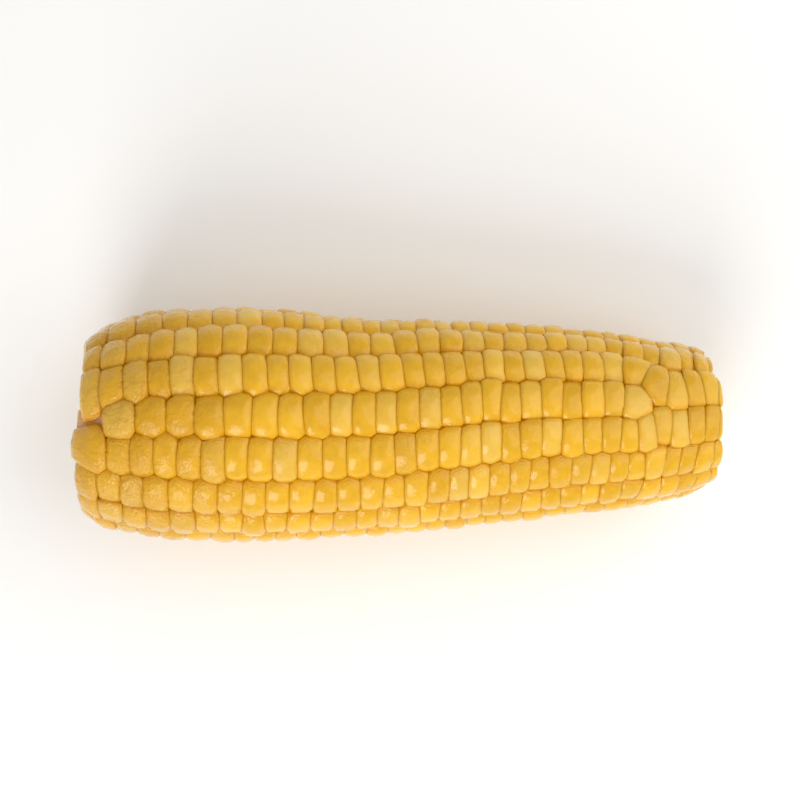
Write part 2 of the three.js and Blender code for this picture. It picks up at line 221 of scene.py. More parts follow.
@dataclass
class KernelPlan:
    """Where every kernel sits: rows round the ear, and kernels along each row."""

    form: EarForm
    length: float = 4.85
    shrink: float = 0.0135
    scatter_along: float = 0.2
    end_slice: float = 1.2
    butt_ragged: tuple[float, ...] = (2.0, 2.2, 2.0, 1.2, 0.0, 0.5, 0.5)
    tip_ragged: tuple[float, ...] = (1.7, 1.4, 0.3, 0.4, 0.6, 0.0, 0.0)
    hidden_ragged: float = 0.7
    hidden_ragged_scatter: float = 0.6
    ragged_reach: float = 4.5
    row_sway: tuple[float, ...] = (0.0, -0.3, 0.5, 0.3, 0.3, 0.1)
    hidden_sway: float = 0.3
    scatter_round: float = 0.9
    scatter_height: float = 0.28
    socket_row: int = 3
    angle_places: tuple[float, ...] = (-62, -20, 20, 50, 58, 71)
    shift_places: tuple[float, ...] = (-66, -54, -40, -25, -10, 8, 26, 44, 60)
    seen_angles: tuple[tuple[float, ...], ...] = (
        (65, 72, 79, 82, 84, 90),
        (45, 50.5, 59.5, 63.5, 61, 60),
        (23.5, 29, 38, 39.5, 25, 28),
        (3.5, 6, 13.5, 15, 15, 15),
        (-15, -17, -11, -7.5, -3.5, -3),
        (-37.5, -41, -35, -31, -31, -33),
        (-59, -62.5, -58, -54, -57, -63),
    )
    seen_shifts: tuple[tuple[float, ...], ...] = (
        (0.76, 0.83, 0.86, 0.81, 0.31, -0.36, -0.87, -0.77, -0.75),
        (0.63, 0.48, 0.29, 0.42, 0.58, 0.76, 0.95, 1.15, 1.21),
        (0.65, 0.38, 0.2, 0.1, 0.03, -0.1, -0.3, -0.26, 0.33),
        (-0.33, 0.1, 0.4, 0.67, 0.73, 0.68, 0.46, 0.68, 1.16),
        (0.9, 0.73, 0.47, 0.39, 0.53, 0.58, 0.49, 0.62, 0.35),
        (0.45, 0.22, 0.14, 0.07, 0.1, 0.11, -0.04, 0.09, 0.02),
        (0.43, 0.23, 0.16, 0, -0.02, -0.17, -0.28, -0.21, 0.1),
    )
    seen_starts: dict[int, float] = field(default_factory=lambda: {4: -70})
    seen_ends: dict[int, float] = field(default_factory=lambda: {3: 54})
    hidden_rows: int = 9
    hidden_lean: tuple[float, ...] = (8.5, 6.5, 2, 1, 0, 0)
    hidden_ends: dict[int, float] = field(default_factory=lambda: {1: 50, 4: 56, 7: 46})
    hidden_shift_step: float = 0.5
    hidden_shift_scatter: float = 0.2
    crowded_places: int = 2
    halvings: int = 40
    round_weight: float = 16
    reach_along: float = 12
    reach_round: float = math.radians(50)

    def passed(self, place: float) -> float:
        """Returns how many kernels a row has between the ear's middle and a place."""
        return -math.log(1 - self.shrink * place / self.length) / self.shrink

    def trim(self, row: int, along: float) -> float:
        """Draws a row's ends in, because the knife tore each row off at its own length.

        Args:
            row: the row's number.
            along: a place along the axis, in millimetres.

        Returns:
            Where the place goes.
        """
        seen = row < len(self.butt_ragged)
        for cut, values, tag, inward in (
            (self.form.butt_cut, self.butt_ragged, Tag.BUTT_END, 1),
            (self.form.tip_cut, self.tip_ragged, Tag.TIP_END, -1),
        ):
            ragged = self.hidden_ragged + self.hidden_ragged_scatter * draw(tag + row)
            if seen:
                ragged = values[row]
            away = (along - cut) * inward
            if away < self.ragged_reach:
                along = cut + inward * (ragged + away * (1 - ragged / self.ragged_reach))
        return along

    def sway(self, row: int, across: float) -> float:
        """Returns how far the ends of a row's kernels are drawn along the ear.

        Args:
            row: the row's number.
            across: place across the row, from -1 at one end of its kernels to 1 at the other.

        Returns:
            The shift along the axis, in millimetres.
        """
        border = row if across < 0 else row - 1
        known = 0 <= border < len(self.row_sway)
        sway = self.row_sway[border] if known else self.hidden_sway * draw(Tag.SWAY + border)
        return sway * across ** 2

    def rows(self) -> list[tuple[Points, Points, float]]:
        """Lays out the rows.

        Returns:
            For each row, its angle curve in degrees, its shift curve in kernels, and where it ends.
        """
        rows = [
            (angles, shifts, self.seen_ends.get(k, math.inf))
            for k, (angles, shifts) in enumerate(zip(self.seen_angles, self.seen_shifts))
        ]
        first, final = self.seen_angles[-1], self.seen_angles[0]
        lasting = self.hidden_rows - len(self.hidden_ends)
        survivors = 0
        for k in range(self.hidden_rows):
            stops = k in self.hidden_ends
            survivors += 0 if stops else 1
            early = (k + 1) / (self.hidden_rows + 1)
            late = (survivors - (0.5 if stops else 0)) / (lasting + 1)
            angles = []
            for i, start in enumerate(first):
                lateness = max(0, i + 1 - len(first) + self.crowded_places) / self.crowded_places
                lean = self.hidden_lean[i] * math.sin(math.pi * early)
                full = final[i] - 360 - start
                angles.append(start + full * (early + lateness * (late - early)) + lean)
            tag = Tag.HIDDEN_SHIFT + HIDDEN_ROW_STEP * k
            shifts = [
                start + (k + 1) * self.hidden_shift_step + self.hidden_shift_scatter * draw(tag + i)
                for i, start in enumerate(self.seen_shifts[-1])
            ]
            rows.append((angles, shifts, self.hidden_ends.get(k, math.inf)))
        return [
            (list(zip(self.angle_places, angles)), list(zip(self.shift_places, shifts)), end)
            for angles, shifts, end in rows
        ]

    def kernels(self) -> list[Kernel]:
        """Walks along every row and returns its kernels, each with its cell."""
        kernels = []
        for row, (angles, shifts, end) in enumerate(self.rows()):
            last = min(self.form.tip_cut + self.end_slice, end)
            start = self.form.butt_cut - self.end_slice
            wanted = math.ceil(self.passed(start) - curve_at(shifts, start) - 0.5) + 0.5
            order = 0
            while wanted <= self.passed(last) - curve_at(shifts, last):
                low = self.form.butt_cut - 2 * self.end_slice
                high = self.form.tip_cut + 2 * self.end_slice
                for _ in range(self.halvings):
                    middle = (low + high) / 2
                    if self.passed(middle) - curve_at(shifts, middle) < wanted:
                        low = middle
                    else:
                        high = middle
                tag = row * ROW_STEP + order
                angle = curve_at(angles, low) + self.scatter_round * draw(tag + Tag.ROUND)
                if low > self.seen_starts.get(row, -math.inf):
                    kernels.append(Kernel(
                        row=row,
                        tag=tag,
                        along=low + self.scatter_along * draw(tag + Tag.ALONG),
                        turn=math.radians(angle),
                        rise=self.scatter_height * draw(tag + Tag.HEIGHT),
                        missing=row == self.socket_row and order == 0,
                    ))
                wanted += 1
                order += 1
        for kernel in kernels:
            kernel.cell = self.cell(kernel, kernels)
        return kernels

    def cell(self, kernel: Kernel, kernels: list[Kernel]) -> list[Corner]:
        """Finds the ground that a kernel takes: all places nearer to it than to any other.

        Args:
            kernel: the kernel whose ground it is.
            kernels: all kernels of the ear.

        Returns:
            Its corners as (along, weighted turn, what lies beyond the side that leaves it).
        """
        weight = self.round_weight
        home = np.array((kernel.along, weight * kernel.turn))
        left = max(home[0] - self.reach_along, self.form.butt_cut)
        right = min(home[0] + self.reach_along, self.form.tip_cut)
        low = home[1] - weight * self.reach_round
        high = home[1] + weight * self.reach_round
        cell: list[Corner] = [
            (left, low, Side.OPEN),
            (right, low, Side.CUT if right == self.form.tip_cut else Side.OPEN),
            (right, high, Side.OPEN),
            (left, high, Side.CUT if left == self.form.butt_cut else Side.OPEN),
        ]
        for other in kernels:
            if other is kernel or abs(other.along - kernel.along) > 2 * self.reach_along:
                continue
            turns = round((kernel.turn - other.turn) / FULL_TURN)
            there = np.array((other.along, weight * (other.turn + turns * FULL_TURN)))
            beyond = Side.SOCKET if other.missing else Side.KERNEL
            cell = self.clip(cell, (home + there) / 2, there - home, beyond)
        return cell

    @staticmethod
    def clip(cell: list[Corner], middle: np.ndarray, normal: np.ndarray, beyond: Side) -> list[Corner]:
        """Cuts a cell by the line through middle, keeping what lies against normal.

        Args:
            cell: the cell's corners.
            middle: a point on the line.
            normal: the direction square to the line that is cut away.
            beyond: what lies beyond the new side.

        Returns:
            The corners of what is kept.
        """
        kept: list[Corner] = []
        for k, start in enumerate(cell):
            stop = cell[(k + 1) % len(cell)]
            a = (start[0] - middle[0]) * normal[0] + (start[1] - middle[1]) * normal[1]
            b = (stop[0] - middle[0]) * normal[0] + (stop[1] - middle[1]) * normal[1]
            if a <= 0:
                kept.append(start)
            if (a <= 0) != (b <= 0):
                t = a / (a - b)
                crossing = (start[0] + t * (stop[0] - start[0]), start[1] + t * (stop[1] - start[1]))
                kept.append((*crossing, beyond if a <= 0 else start[2]))
        return kept


def hex_colour(code: str) -> Colour:
    """Turns an sRGB hex colour such as #e8b93c to linear red, green, blue and alpha."""
    parts = [int(code[k:k + 2], 16) / 255 for k in (1, 3, 5)]
    linear = [p / 12.92 if p <= 0.04045 else ((p + 0.055) / 1.055) ** 2.4 for p in parts]
    return (*linear, 1.0)


def fill(tree: NodeTree, node: Node, inputs: Inputs) -> None:
    """Sets and links a node's inputs.

    Args:
        tree: the material's node tree.
        node: the node.
        inputs: input name or number to a value, or to the output socket that feeds it.
    """
    for key, value in inputs.items():
        if isinstance(value, NodeSocket):
            tree.links.new(value, node.inputs[key])
        else:
            node.inputs[key].default_value = value


def add_node(
    tree: NodeTree, kind: str, inputs: Inputs | None = None, **settings: object,
) -> Node:
    """Adds a node with its settings, values and links.

    Args:
        tree: the material's node tree.
        kind: the shader node's type.
        inputs: the inputs to fill.
        settings: the node's own properties.

    Returns:
        The new node.
    """
    node = tree.nodes.new("ShaderNode" + kind)
    for name, value in settings.items():
        setattr(node, name, value)
    fill(tree, node, inputs or {})
    return node


def maths(tree: NodeTree, operation: str, *values: object, clamp: bool = False) -> NodeSocket:
    """Adds a node that calculates with numbers and sockets, and returns its result."""
    node = add_node(tree, "Math", dict(enumerate(values)), operation=operation, use_clamp=clamp)
    return node.outputs[0]


def mix(
    tree: NodeTree, factor: NodeSocket, colour: NodeSocket, code: str, blend: str = "MIX",
) -> NodeSocket:
    """Mixes a colour with an sRGB hex colour by a factor, and returns the result."""
    inputs = {0: factor, 6: colour, 7: hex_colour(code)}
    return add_node(tree, "Mix", inputs, data_type="RGBA", blend_type=blend).outputs[2]


def read_attribute(tree: NodeTree, name: str) -> bpy_prop_collection:
    """Returns the red, green and blue outputs of a mesh's own colour attribute."""
    attribute = add_node(tree, "Attribute", attribute_name=name)
    return add_node(tree, "SeparateColor", {"Color": attribute.outputs["Color"]}).outputs


def new_material(name: str) -> tuple[Material, NodeTree, Node]:
    """Returns a fresh material, its tree and its Principled shader."""
    material = bpy.data.materials.new(name)
    material.use_nodes = True
    tree = material.node_tree
    return material, tree, tree.nodes["Principled BSDF"]


def colour_ramp(
    tree: NodeTree, factor: NodeSocket, stops: list[tuple[float, str]],
) -> NodeSocket:
    """Maps a factor to colours.

    Args:
        tree: the material's node tree.
        factor: the socket that drives the ramp.
        stops: (place, hex colour) pairs in order.

    Returns:
        The ramp's colour socket.
    """
    ramp = add_node(tree, "ValToRGB", {"Fac": factor})
    elements = ramp.color_ramp.elements
    while len(elements) < len(stops):
        elements.new(0.5)
    for element, (place, code) in zip(elements, stops):
        element.position = place
        element.color = hex_colour(code)
    return ramp.outputs["Color"]


def surface(
    tree: NodeTree, shader: Node, look: "KernelSkin | KernelFlesh | CobTissue",
    colour: NodeSocket, height: NodeSocket,
) -> NodeSocket:
    """Gives a shader its colour, soft glow and relief, and returns the relief's normals."""
    bump = add_node(tree, "Bump", {
        "Height": height, "Strength": look.relief_strength, "Distance": look.relief,
    }).outputs["Normal"]
    fill(tree, shader, {
        "Base Color": colour, "Normal": bump, "Roughness": look.roughness, "IOR": look.ior,
        "Subsurface Weight": look.glow, "Subsurface Radius": look.glow_spread,
        "Subsurface Scale": look.glow_depth,
    })
    return bump


@dataclass(frozen=True)
class KernelSkin:
    """Cooked sweet corn skin: a thin, tight, wet membrane over soft translucent starch.

    It gives the eye a soft glow inside each kernel and bright reflections of the light on its crown.
    Painted shade deepens its colour towards each kernel's edge, along the seams where two kernels
    press together and in the arc wrinkles near their ends; its colour is also darker towards the
    thick end, where fine wet wrinkles lie.
    """

    name: str = "cooked_sweet_corn_skin"
    ripe: str = "#eab622"
    golden: str = "#dea912"
    pale: str = "#ebc45a"
    # Painted shade: the deeper golden that a kernel's colour turns to towards its edge.
    rim: str = "#e6aa1c"
    # Painted shade laid in the seams between kernels and along the arc wrinkles.
    seam_shade_colour: str = "#dd961e"
    # Multiplied into the colour by each kernel's wrinkling, so kernels are darker towards the butt end.
    butt_darkening: str = "#efe9d8"
    roughness: float = 0.38
    ior: float = 1.38
    shine: float = 0.2
    glow: float = 0.55
    glow_spread: Triple = (0.8, 0.85, 0.3)
    glow_depth: float = 1.3 * MM
    wetness: float = 0.9
    wet_roughness: float = 0.06
    wet_ior: float = 1.4
    mottle_size: float = 3.0 * MM
    mottle_contrast: float = 1.5
    # How far in from a kernel's edge the painted edge shade reaches, and how strong it is at the edge.
    margin_start: float = 0.02
    margin_end: float = 0.42
    edge_shade_strength: float = 0.6
    # How far in from a kernel's edge the painted seam shade reaches, and how dark it is at the edge.
    seam_end: float = 0.09
    seam_shade_strength: float = 0.32
    # Arc wrinkles near a kernel's upper end: how many, where they start and reach full height, and how
    # strongly painted shade is laid along them.
    arc_count: float = 26.0
    arc_start: float = 0.68
    arc_full: float = 0.9
    arc_height: float = 0.14
    arc_shade: float = 1.4
    wrinkle_size: float = 1.5 * MM
    wrinkle_height: float = 3.0
    relief_strength: float = 0.8
    relief: float = 0.28 * MM

    def build(self) -> Material:
        """Builds the material and returns it."""
        material, tree, shader = new_material(self.name)
        place = add_node(tree, "TexCoord").outputs["Object"]
        shape, kind = read_attribute(tree, "shape"), read_attribute(tree, "kind")
        rim, across = shape["Red"], shape["Blue"]
        paleness, ripeness, wrinkling = kind["Red"], kind["Green"], kind["Blue"]

        mottle = add_node(tree, "TexNoise", {
            "Vector": place, "Scale": 1 / self.mottle_size, "Detail": 2.0, "Roughness": 0.5,
        }).outputs["Fac"]
        uneven = maths(tree, "SUBTRACT", mottle, 0.5)
        mottled = maths(tree, "MULTIPLY_ADD", uneven, self.mottle_contrast, ripeness, clamp=True)
        ripe = colour_ramp(tree, mottled, [(0.1, self.golden), (0.75, self.ripe)])
        body = mix(tree, paleness, ripe, self.pale)
        # Painted shade: the colour deepens towards each kernel's edge. The same band adds to the
        # wrinkles' relief there.
        margin = add_node(tree, "MapRange", {
            "Value": rim, "From Min": self.margin_start, "From Max": self.margin_end,
            "To Min": self.edge_shade_strength, "To Max": 0.0,
        }, interpolation_type="SMOOTHSTEP").outputs[0]
        inner = mix(tree, margin, body, self.rim)
        # Painted shade along the seams where two kernels meet.
        seam = add_node(tree, "MapRange", {
            "Value": rim, "From Min": 0.0, "From Max": self.seam_end,
            "To Min": self.seam_shade_strength, "To Max": 0.0,
        }, interpolation_type="SMOOTHSTEP").outputs[0]
        fine = add_node(tree, "TexNoise", {
            "Vector": place, "Scale": 1 / self.wrinkle_size, "Detail": 3.0, "Roughness": 0.6,
        }).outputs["Fac"]
        # Arc wrinkles near a kernel's upper end, which give relief and carry painted shade.
        ripple = maths(tree, "SINE", maths(tree, "MULTIPLY", rim, self.arc_count))
        near_end = add_node(tree, "MapRange", {
            "Value": across, "From Min": self.arc_start, "From Max": self.arc_full,
            "To Min": 0.0, "To Max": self.arc_height,
        }).outputs[0]
        arcs = maths(tree, "MULTIPLY", ripple, near_end)
        # Lays the painted shade of the seams and arc wrinkles over the kernel's colour.
        seam_and_arc_shade = maths(tree, "MULTIPLY_ADD", arcs, self.arc_shade, seam, clamp=True)
        seam_shaded_skin = mix(tree, seam_and_arc_shade, inner, self.seam_shade_colour)
        # Kernels are darker towards the butt end, in step with their wrinkling.
        skin = mix(tree, wrinkling, seam_shaded_skin, self.butt_darkening, blend="MULTIPLY")

        creasing = maths(tree, "MULTIPLY_ADD", wrinkling, self.wrinkle_height, margin)
        crinkle = maths(tree, "MULTIPLY_ADD", fine, creasing, arcs)
        fill(tree, shader, {
            "Coat Normal": surface(tree, shader, self, skin, crinkle), "Specular IOR Level": self.shine,
            "Coat Weight": self.wetness, "Coat Roughness": self.wet_roughness, "Coat IOR": self.wet_ior,
        })
        return material


@dataclass(frozen=True)
class KernelFlesh:
    """The cut flesh of a kernel: moist cream starch, with the yellow skin as a thin rim."""

    name: str = "cut_corn_flesh"
    root: str = "#d9c08a"
    starch: str = "#ecd089"
    rim: str = "#dfa42c"
    roughness: float = 0.42
    ior: float = 1.38
    glow: float = 0.4
    glow_spread: Triple = (1.0, 0.7, 0.3)
    glow_depth: float = 1.5 * MM
    wetness: float = 0.25
    wet_roughness: float = 0.2
    grain_size: float = 0.8 * MM
    grain_spread: float = 0.18
    relief_strength: float = 0.5
    relief: float = 0.25 * MM

    def build(self) -> Material:
        """Builds the material and returns it."""
        material, tree, shader = new_material(self.name)
        place = add_node(tree, "TexCoord").outputs["Object"]
        grain = add_node(tree, "TexNoise", {
            "Vector": place, "Scale": 1 / self.grain_size, "Detail": 4.0,
        }).outputs["Fac"]
        depth = read_attribute(tree, "shape")["Green"]
        height = maths(tree, "MULTIPLY_ADD", grain, self.grain_spread, depth)
        colour = colour_ramp(tree, height, [
            (0.1, self.root), (0.4, self.starch), (0.85, self.starch), (1.0, self.rim),
        ])
        surface(tree, shader, self, colour, grain)
        fill(tree, shader, {"Coat Weight": self.wetness, "Coat Roughness": self.wet_roughness})
        return material


@dataclass(frozen=True)
class CobTissue:
    """Damp cob tissue: tough fibres round a soft spongy pith, pinkish where kernels were seated."""

    name: str = "damp_cob_tissue"
    wood: str = "#e9c692"
    fibre: str = "#dfa878"
    pith: str = "#f0e0bc"
    roughness: float = 0.6
    ior: float = 1.4
    glow: float = 0.25
    glow_spread: Triple = (1.0, 0.75, 0.45)
    glow_depth: float = 1.2 * MM
    fibre_size: float = 0.7 * MM
    fibre_spread: float = 0.12
    relief_strength: float = 0.6
    relief: float = 0.3 * MM

    def build(self) -> Material:
        """Builds the material and returns it."""
        material, tree, shader = new_material(self.name)
        place = add_node(tree, "TexCoord").outputs["Object"]
        fibres = add_node(tree, "TexVoronoi", {
            "Vector": place, "Scale": 1 / self.fibre_size,
        }, feature="F1").outputs["Distance"]
        share = read_attribute(tree, "shape")["Red"]
        spread = maths(tree, "MULTIPLY_ADD", fibres, self.fibre_spread, share)
        colour = colour_ramp(tree, spread, [
            (0.3, self.pith), (0.48, self.wood), (0.75, self.fibre), (0.95, self.wood),
        ])
        surface(tree, shader, self, colour, fibres)
        return material


@dataclass(frozen=True)
class PaleFloor:
    """A plain pale studio floor, matt, so that only the ear draws the eye."""

    name: str = "matt_pale_floor"
    colour: str = "#fbfaf8"
    roughness: float = 0.9

    def build(self) -> Material:
        """Builds the material and returns it."""
        material, tree, shader = new_material(self.name)
        fill(tree, shader, {"Base Color": hex_colour(self.colour), "Roughness": self.roughness})
        return material


def select_faces(piece: Object, wanted: Callable[[MeshPolygon], bool]) -> None:
    """Leaves the piece open for editing with only the wanted faces selected.

    Args:
        piece: the active mesh object.
        wanted: a test that takes a face and says whether to select it.
    """
    bpy.ops.object.mode_set(mode="EDIT")
    bpy.ops.mesh.select_all(action="DESELECT")
    bpy.ops.object.mode_set(mode="OBJECT")
    for face in piece.data.polygons:
        face.select = bool(wanted(face))
    bpy.ops.object.mode_set(mode="EDIT")


def ringed_rod(name: str, sides: int, rings: int, length: float) -> Object:
    """Models an upright rod of radius 1 with rings along it, left open with both ends selected."""
    bpy.ops.mesh.primitive_cylinder_add(
        vertices=sides, radius=1, depth=length, location=(0, 0, length / 2), end_fill_type="NGON",
    )
    rod = bpy.context.active_object
    rod.name = name
    bpy.ops.object.transform_apply(location=True)
    bpy.ops.object.mode_set(mode="EDIT")
    for step in range(1, rings):
        bpy.ops.mesh.select_all(action="SELECT")
        bpy.ops.mesh.bisect(plane_co=(0, 0, length * step / rings), plane_no=(0, 0, 1))
    bpy.ops.object.mode_set(mode="OBJECT")
    select_faces(rod, lambda face: abs(face.normal.z) > FACING)
    return rod


def move_points(mesh: Mesh, points: list[Vector]) -> None:
    """Moves a mesh's vertices to new places."""
    mesh.vertices.foreach_set("co", np.array(points, dtype=np.float32).ravel())
    mesh.update()


def write_colours(mesh: Mesh, name: str, values: np.ndarray) -> None:
    """Stores four numbers for each vertex as a named colour attribute."""
    layer = mesh.color_attributes.new(name, "FLOAT_COLOR", "POINT")
    layer.data.foreach_set("color", values.astype(np.float32).ravel())


@dataclass
class KernelModel:
    """The one kernel that all others are copied from, in a space of its own.

    Across it is a disc of radius 1, and its height runs from 0 at the root to 1 at the crown.
    """

    sides: int = 16
    seam_height: float = 0.6
    crown_steps: tuple[tuple[float, float], ...] = ((0.87, 0.8), (0.62, 0.95))

    def build(self) -> Object:
        """Models the kernel from a short cylinder and returns its object."""
        bpy.ops.mesh.primitive_cylinder_add(
            vertices=self.sides, radius=1, depth=self.seam_height, end_fill_type="NGON",
            location=(0, 0, self.seam_height / 2), rotation=(0, 0, math.pi / self.sides),
        )
        kernel = bpy.context.active_object
        kernel.name = "kernel_model"
        bpy.ops.object.transform_apply(location=True, rotation=True)
        select_faces(kernel, lambda face: face.normal.z > FACING)
        reach, height = 1.0, self.seam_height
        for next_reach, next_height in self.crown_steps:
            bpy.ops.mesh.extrude_region_move(
                TRANSFORM_OT_translate={"value": (0, 0, next_height - height)},
            )
            share = next_reach / reach
            bpy.ops.transform.resize(value=(share, share, 1))
            reach, height = next_reach, next_height
        bpy.ops.mesh.poke()
        bpy.ops.object.mode_set(mode="OBJECT")
        return kernel


@dataclass
class KernelShape:
    """How a kernel is rounded and how it presses on its neighbours, in millimetres."""

    aspect: float = 2.0
    least_side: float = 0.05
    side_press: float = 0.42
    end_press: float = 0.9
    facing_gain: float = 2.0
    facing_start: float = 0.6
    socket_lean: float = 2.7
    corner_power: float = 4.8
    corner_fill: float = 0.04
    corner_swing: float = math.radians(12)
    rim_share: float = 0.99
    rim_width: float = 2.4
    rounding: float = 1.9
    seam_depth: float = 0.85
    bed_depth: float = 2.7
    dome: float = 0.5
    end_dome: float = 1.9
    end_power: float = 2.8
    socket_depth: float = 3.6
    socket_bowl: float = 1.5
    lean: float = 0.06
    lean_round: float = 0.5
    cut_round: float = 1.5
    cut_power: float = 3
    cut_share: float = 0.8
    cut_drop: float = 0.7

    def sides(self, kernel: Kernel, plan: KernelPlan) -> tuple[np.ndarray, list[CellSide]]:
        """Measures a kernel's cell from its middle.

        Args:
            kernel: the kernel.
            plan: the plan that its cell comes from.

        Returns:
            The cell's corners in millimetres along and round, and for each side its outward
            direction, its distance, and how far the kernel presses past it, below 0 at a cut.
        """
        radian = plan.form.crown(kernel.along)
        corners = np.array([(c[0], c[1] / plan.round_weight * radian) for c in kernel.cell])
        corners = corners - corners.mean(axis=0)
        sides = []
        for k, start in enumerate(corners):
            side = corners[(k + 1) % len(corners)] - start
            size = np.linalg.norm(side)
            if size < self.least_side:
                continue
            normal = np.array((side[1], -side[0])) / size
            beyond, distance = kernel.cell[k][2], float(normal @ start)
            facing = min(1, max(0, self.facing_gain * abs(normal[1]) - self.facing_start))
            press = self.side_press + (self.end_press - self.side_press) * facing
            if beyond == Side.SOCKET:
                distance += self.socket_lean * abs(normal[1])
            sides.append((normal, distance, -1.0 if beyond == Side.CUT else press))
        return corners, sides

    def outline(
        self, sides: list[CellSide], rays: np.ndarray, at_corner: np.ndarray,
    ) -> tuple[np.ndarray, np.ndarray]:
        """Finds how far the kernel's rounded outline lies along each ray from its middle.

        Args:
            sides: the cell's sides.
            rays: the rays.
            at_corner: which rays point at a corner of the cell, where the kernel is filled out.

        Returns:
            The share of each ray that the outline takes, and whether a cut ends it there.
        """
        soft = np.full(len(rays), 1 / FAR)
        hard = np.full(len(rays), FAR)
        for normal, distance, press in sides:
            towards = np.maximum(rays @ normal, LEAST)
            if press < 0:
                hard = np.minimum(hard, distance / towards)
            else:
                soft += (towards / (distance + press)) ** self.corner_power
        soft = soft ** (-1 / self.corner_power) * (1 + self.corner_fill * at_corner)
        return np.minimum(hard, soft), hard < soft

    @staticmethod
    def room(sides: list[CellSide], places: np.ndarray, pressed: bool) -> np.ndarray:
        """Measures how far places lie inside the nearest side that isn't a cut.

        Args:
            sides: the cell's sides.
            places: the places, in millimetres from the cell's middle.
            pressed: whether to measure from where the kernel presses to, past its own side.

        Returns:
            The distances, in millimetres.
        """
        nearest = np.full(len(places), FAR)
        for normal, distance, press in sides:
            if press >= 0:
                nearest = np.minimum(nearest, distance + (press if pressed else 0) - places @ normal)
        return nearest

    def snap(self, directions: np.ndarray, corners: np.ndarray) -> tuple[np.ndarray, np.ndarray]:
        """Turns the kernel model's spokes towards the corners of a cell.

        Args:
            directions: the directions of the model's points.
            corners: the cell's corners, in millimetres from its middle.

        Returns:
            The directions, with each corner's nearest spoke pointing at it, and which ones do.
        """
        turned = directions.copy()
        at_corner = np.zeros(len(directions), dtype=bool)
        spokes = np.unique(np.round(directions, 3))
        for corner in np.arctan2(corners[:, 1] / self.aspect, corners[:, 0]):
            gaps = np.abs((spokes - corner + math.pi) % FULL_TURN - math.pi)
            if gaps.min() < self.corner_swing:
                spoke = np.abs(directions - spokes[gaps.argmin()]) < 0.01
                turned[spoke] = corner
                at_corner |= spoke
        return turned, at_corner

    def drop(
        self, kernel: Kernel, real: np.ndarray, share: np.ndarray, edge: np.ndarray, size: float,
    ) -> np.ndarray:
        """Finds how far below the ear's crowns the top of a kernel lies.

        Args:
            kernel: the kernel.
            real: places on it, in millimetres from its middle.
            share: their way out, from 0 in the middle to 1 at the outline.
            edge: their distances inside the outline, in millimetres.
            size: the kernel's size against a standard one.

        Returns:
            The depths, in millimetres.
        """
        across = real[:, 1] / np.abs(real[:, 1]).max()
        near = np.clip(edge / (self.rounding * size), 0, 1)
        drop = self.seam_depth * size * (1 - np.sqrt(1 - (1 - near) ** 2))
        drop += size * (self.dome * share ** 2 + self.end_dome * np.abs(across) ** self.end_power)
        along_lean = draw(kernel.tag + Tag.TILT_ALONG)
        round_lean = self.lean_round * draw(kernel.tag + Tag.TILT_ROUND)
        tilt = self.lean * (along_lean * real[:, 0] + round_lean * real[:, 1])
        drop += np.where(share < self.rim_share, tilt, 0) - kernel.rise
        if kernel.missing:
            drop += self.socket_depth - self.socket_bowl * share ** 2
        return drop


@dataclass(frozen=True)
class KernelLook:
    """How the skins of kernels differ, and where along the ear they wrinkle, in millimetres."""

    pale_from: float = 0.35
    ripe_middle: float = 0.5
    ripe_scatter: float = 0.4
    wrinkled_least: float = 0.2
    wrinkled_more: float = 0.8
    wrinkled_scatter: float = 0.2
    wrinkled_floor: float = 0.05
    wrinkles_start: float = 30
    wrinkles_full: float = 62
    socket_tone: float = 0.54
    socket_rim: float = 0.2

    def kind(self, kernel: Kernel) -> Colour:
        """Returns a kernel's paleness, ripeness and wrinkling as a colour."""
        # Wrinkling rises towards the butt end; the skin is both wrinkled and darkened by it.
        place = float(smooth_step(self.wrinkles_start, self.wrinkles_full, np.array(-kernel.along)))
        wrinkled = self.wrinkled_least + self.wrinkled_more * place
        wrinkled += self.wrinkled_scatter * draw(kernel.tag + Tag.WRINKLED)
        return (
            max(0.0, draw(kernel.tag + Tag.PALE) - self.pale_from),
            self.ripe_middle + self.ripe_scatter * draw(kernel.tag + Tag.RIPE),
            max(self.wrinkled_floor, wrinkled),
            1.0,
        )


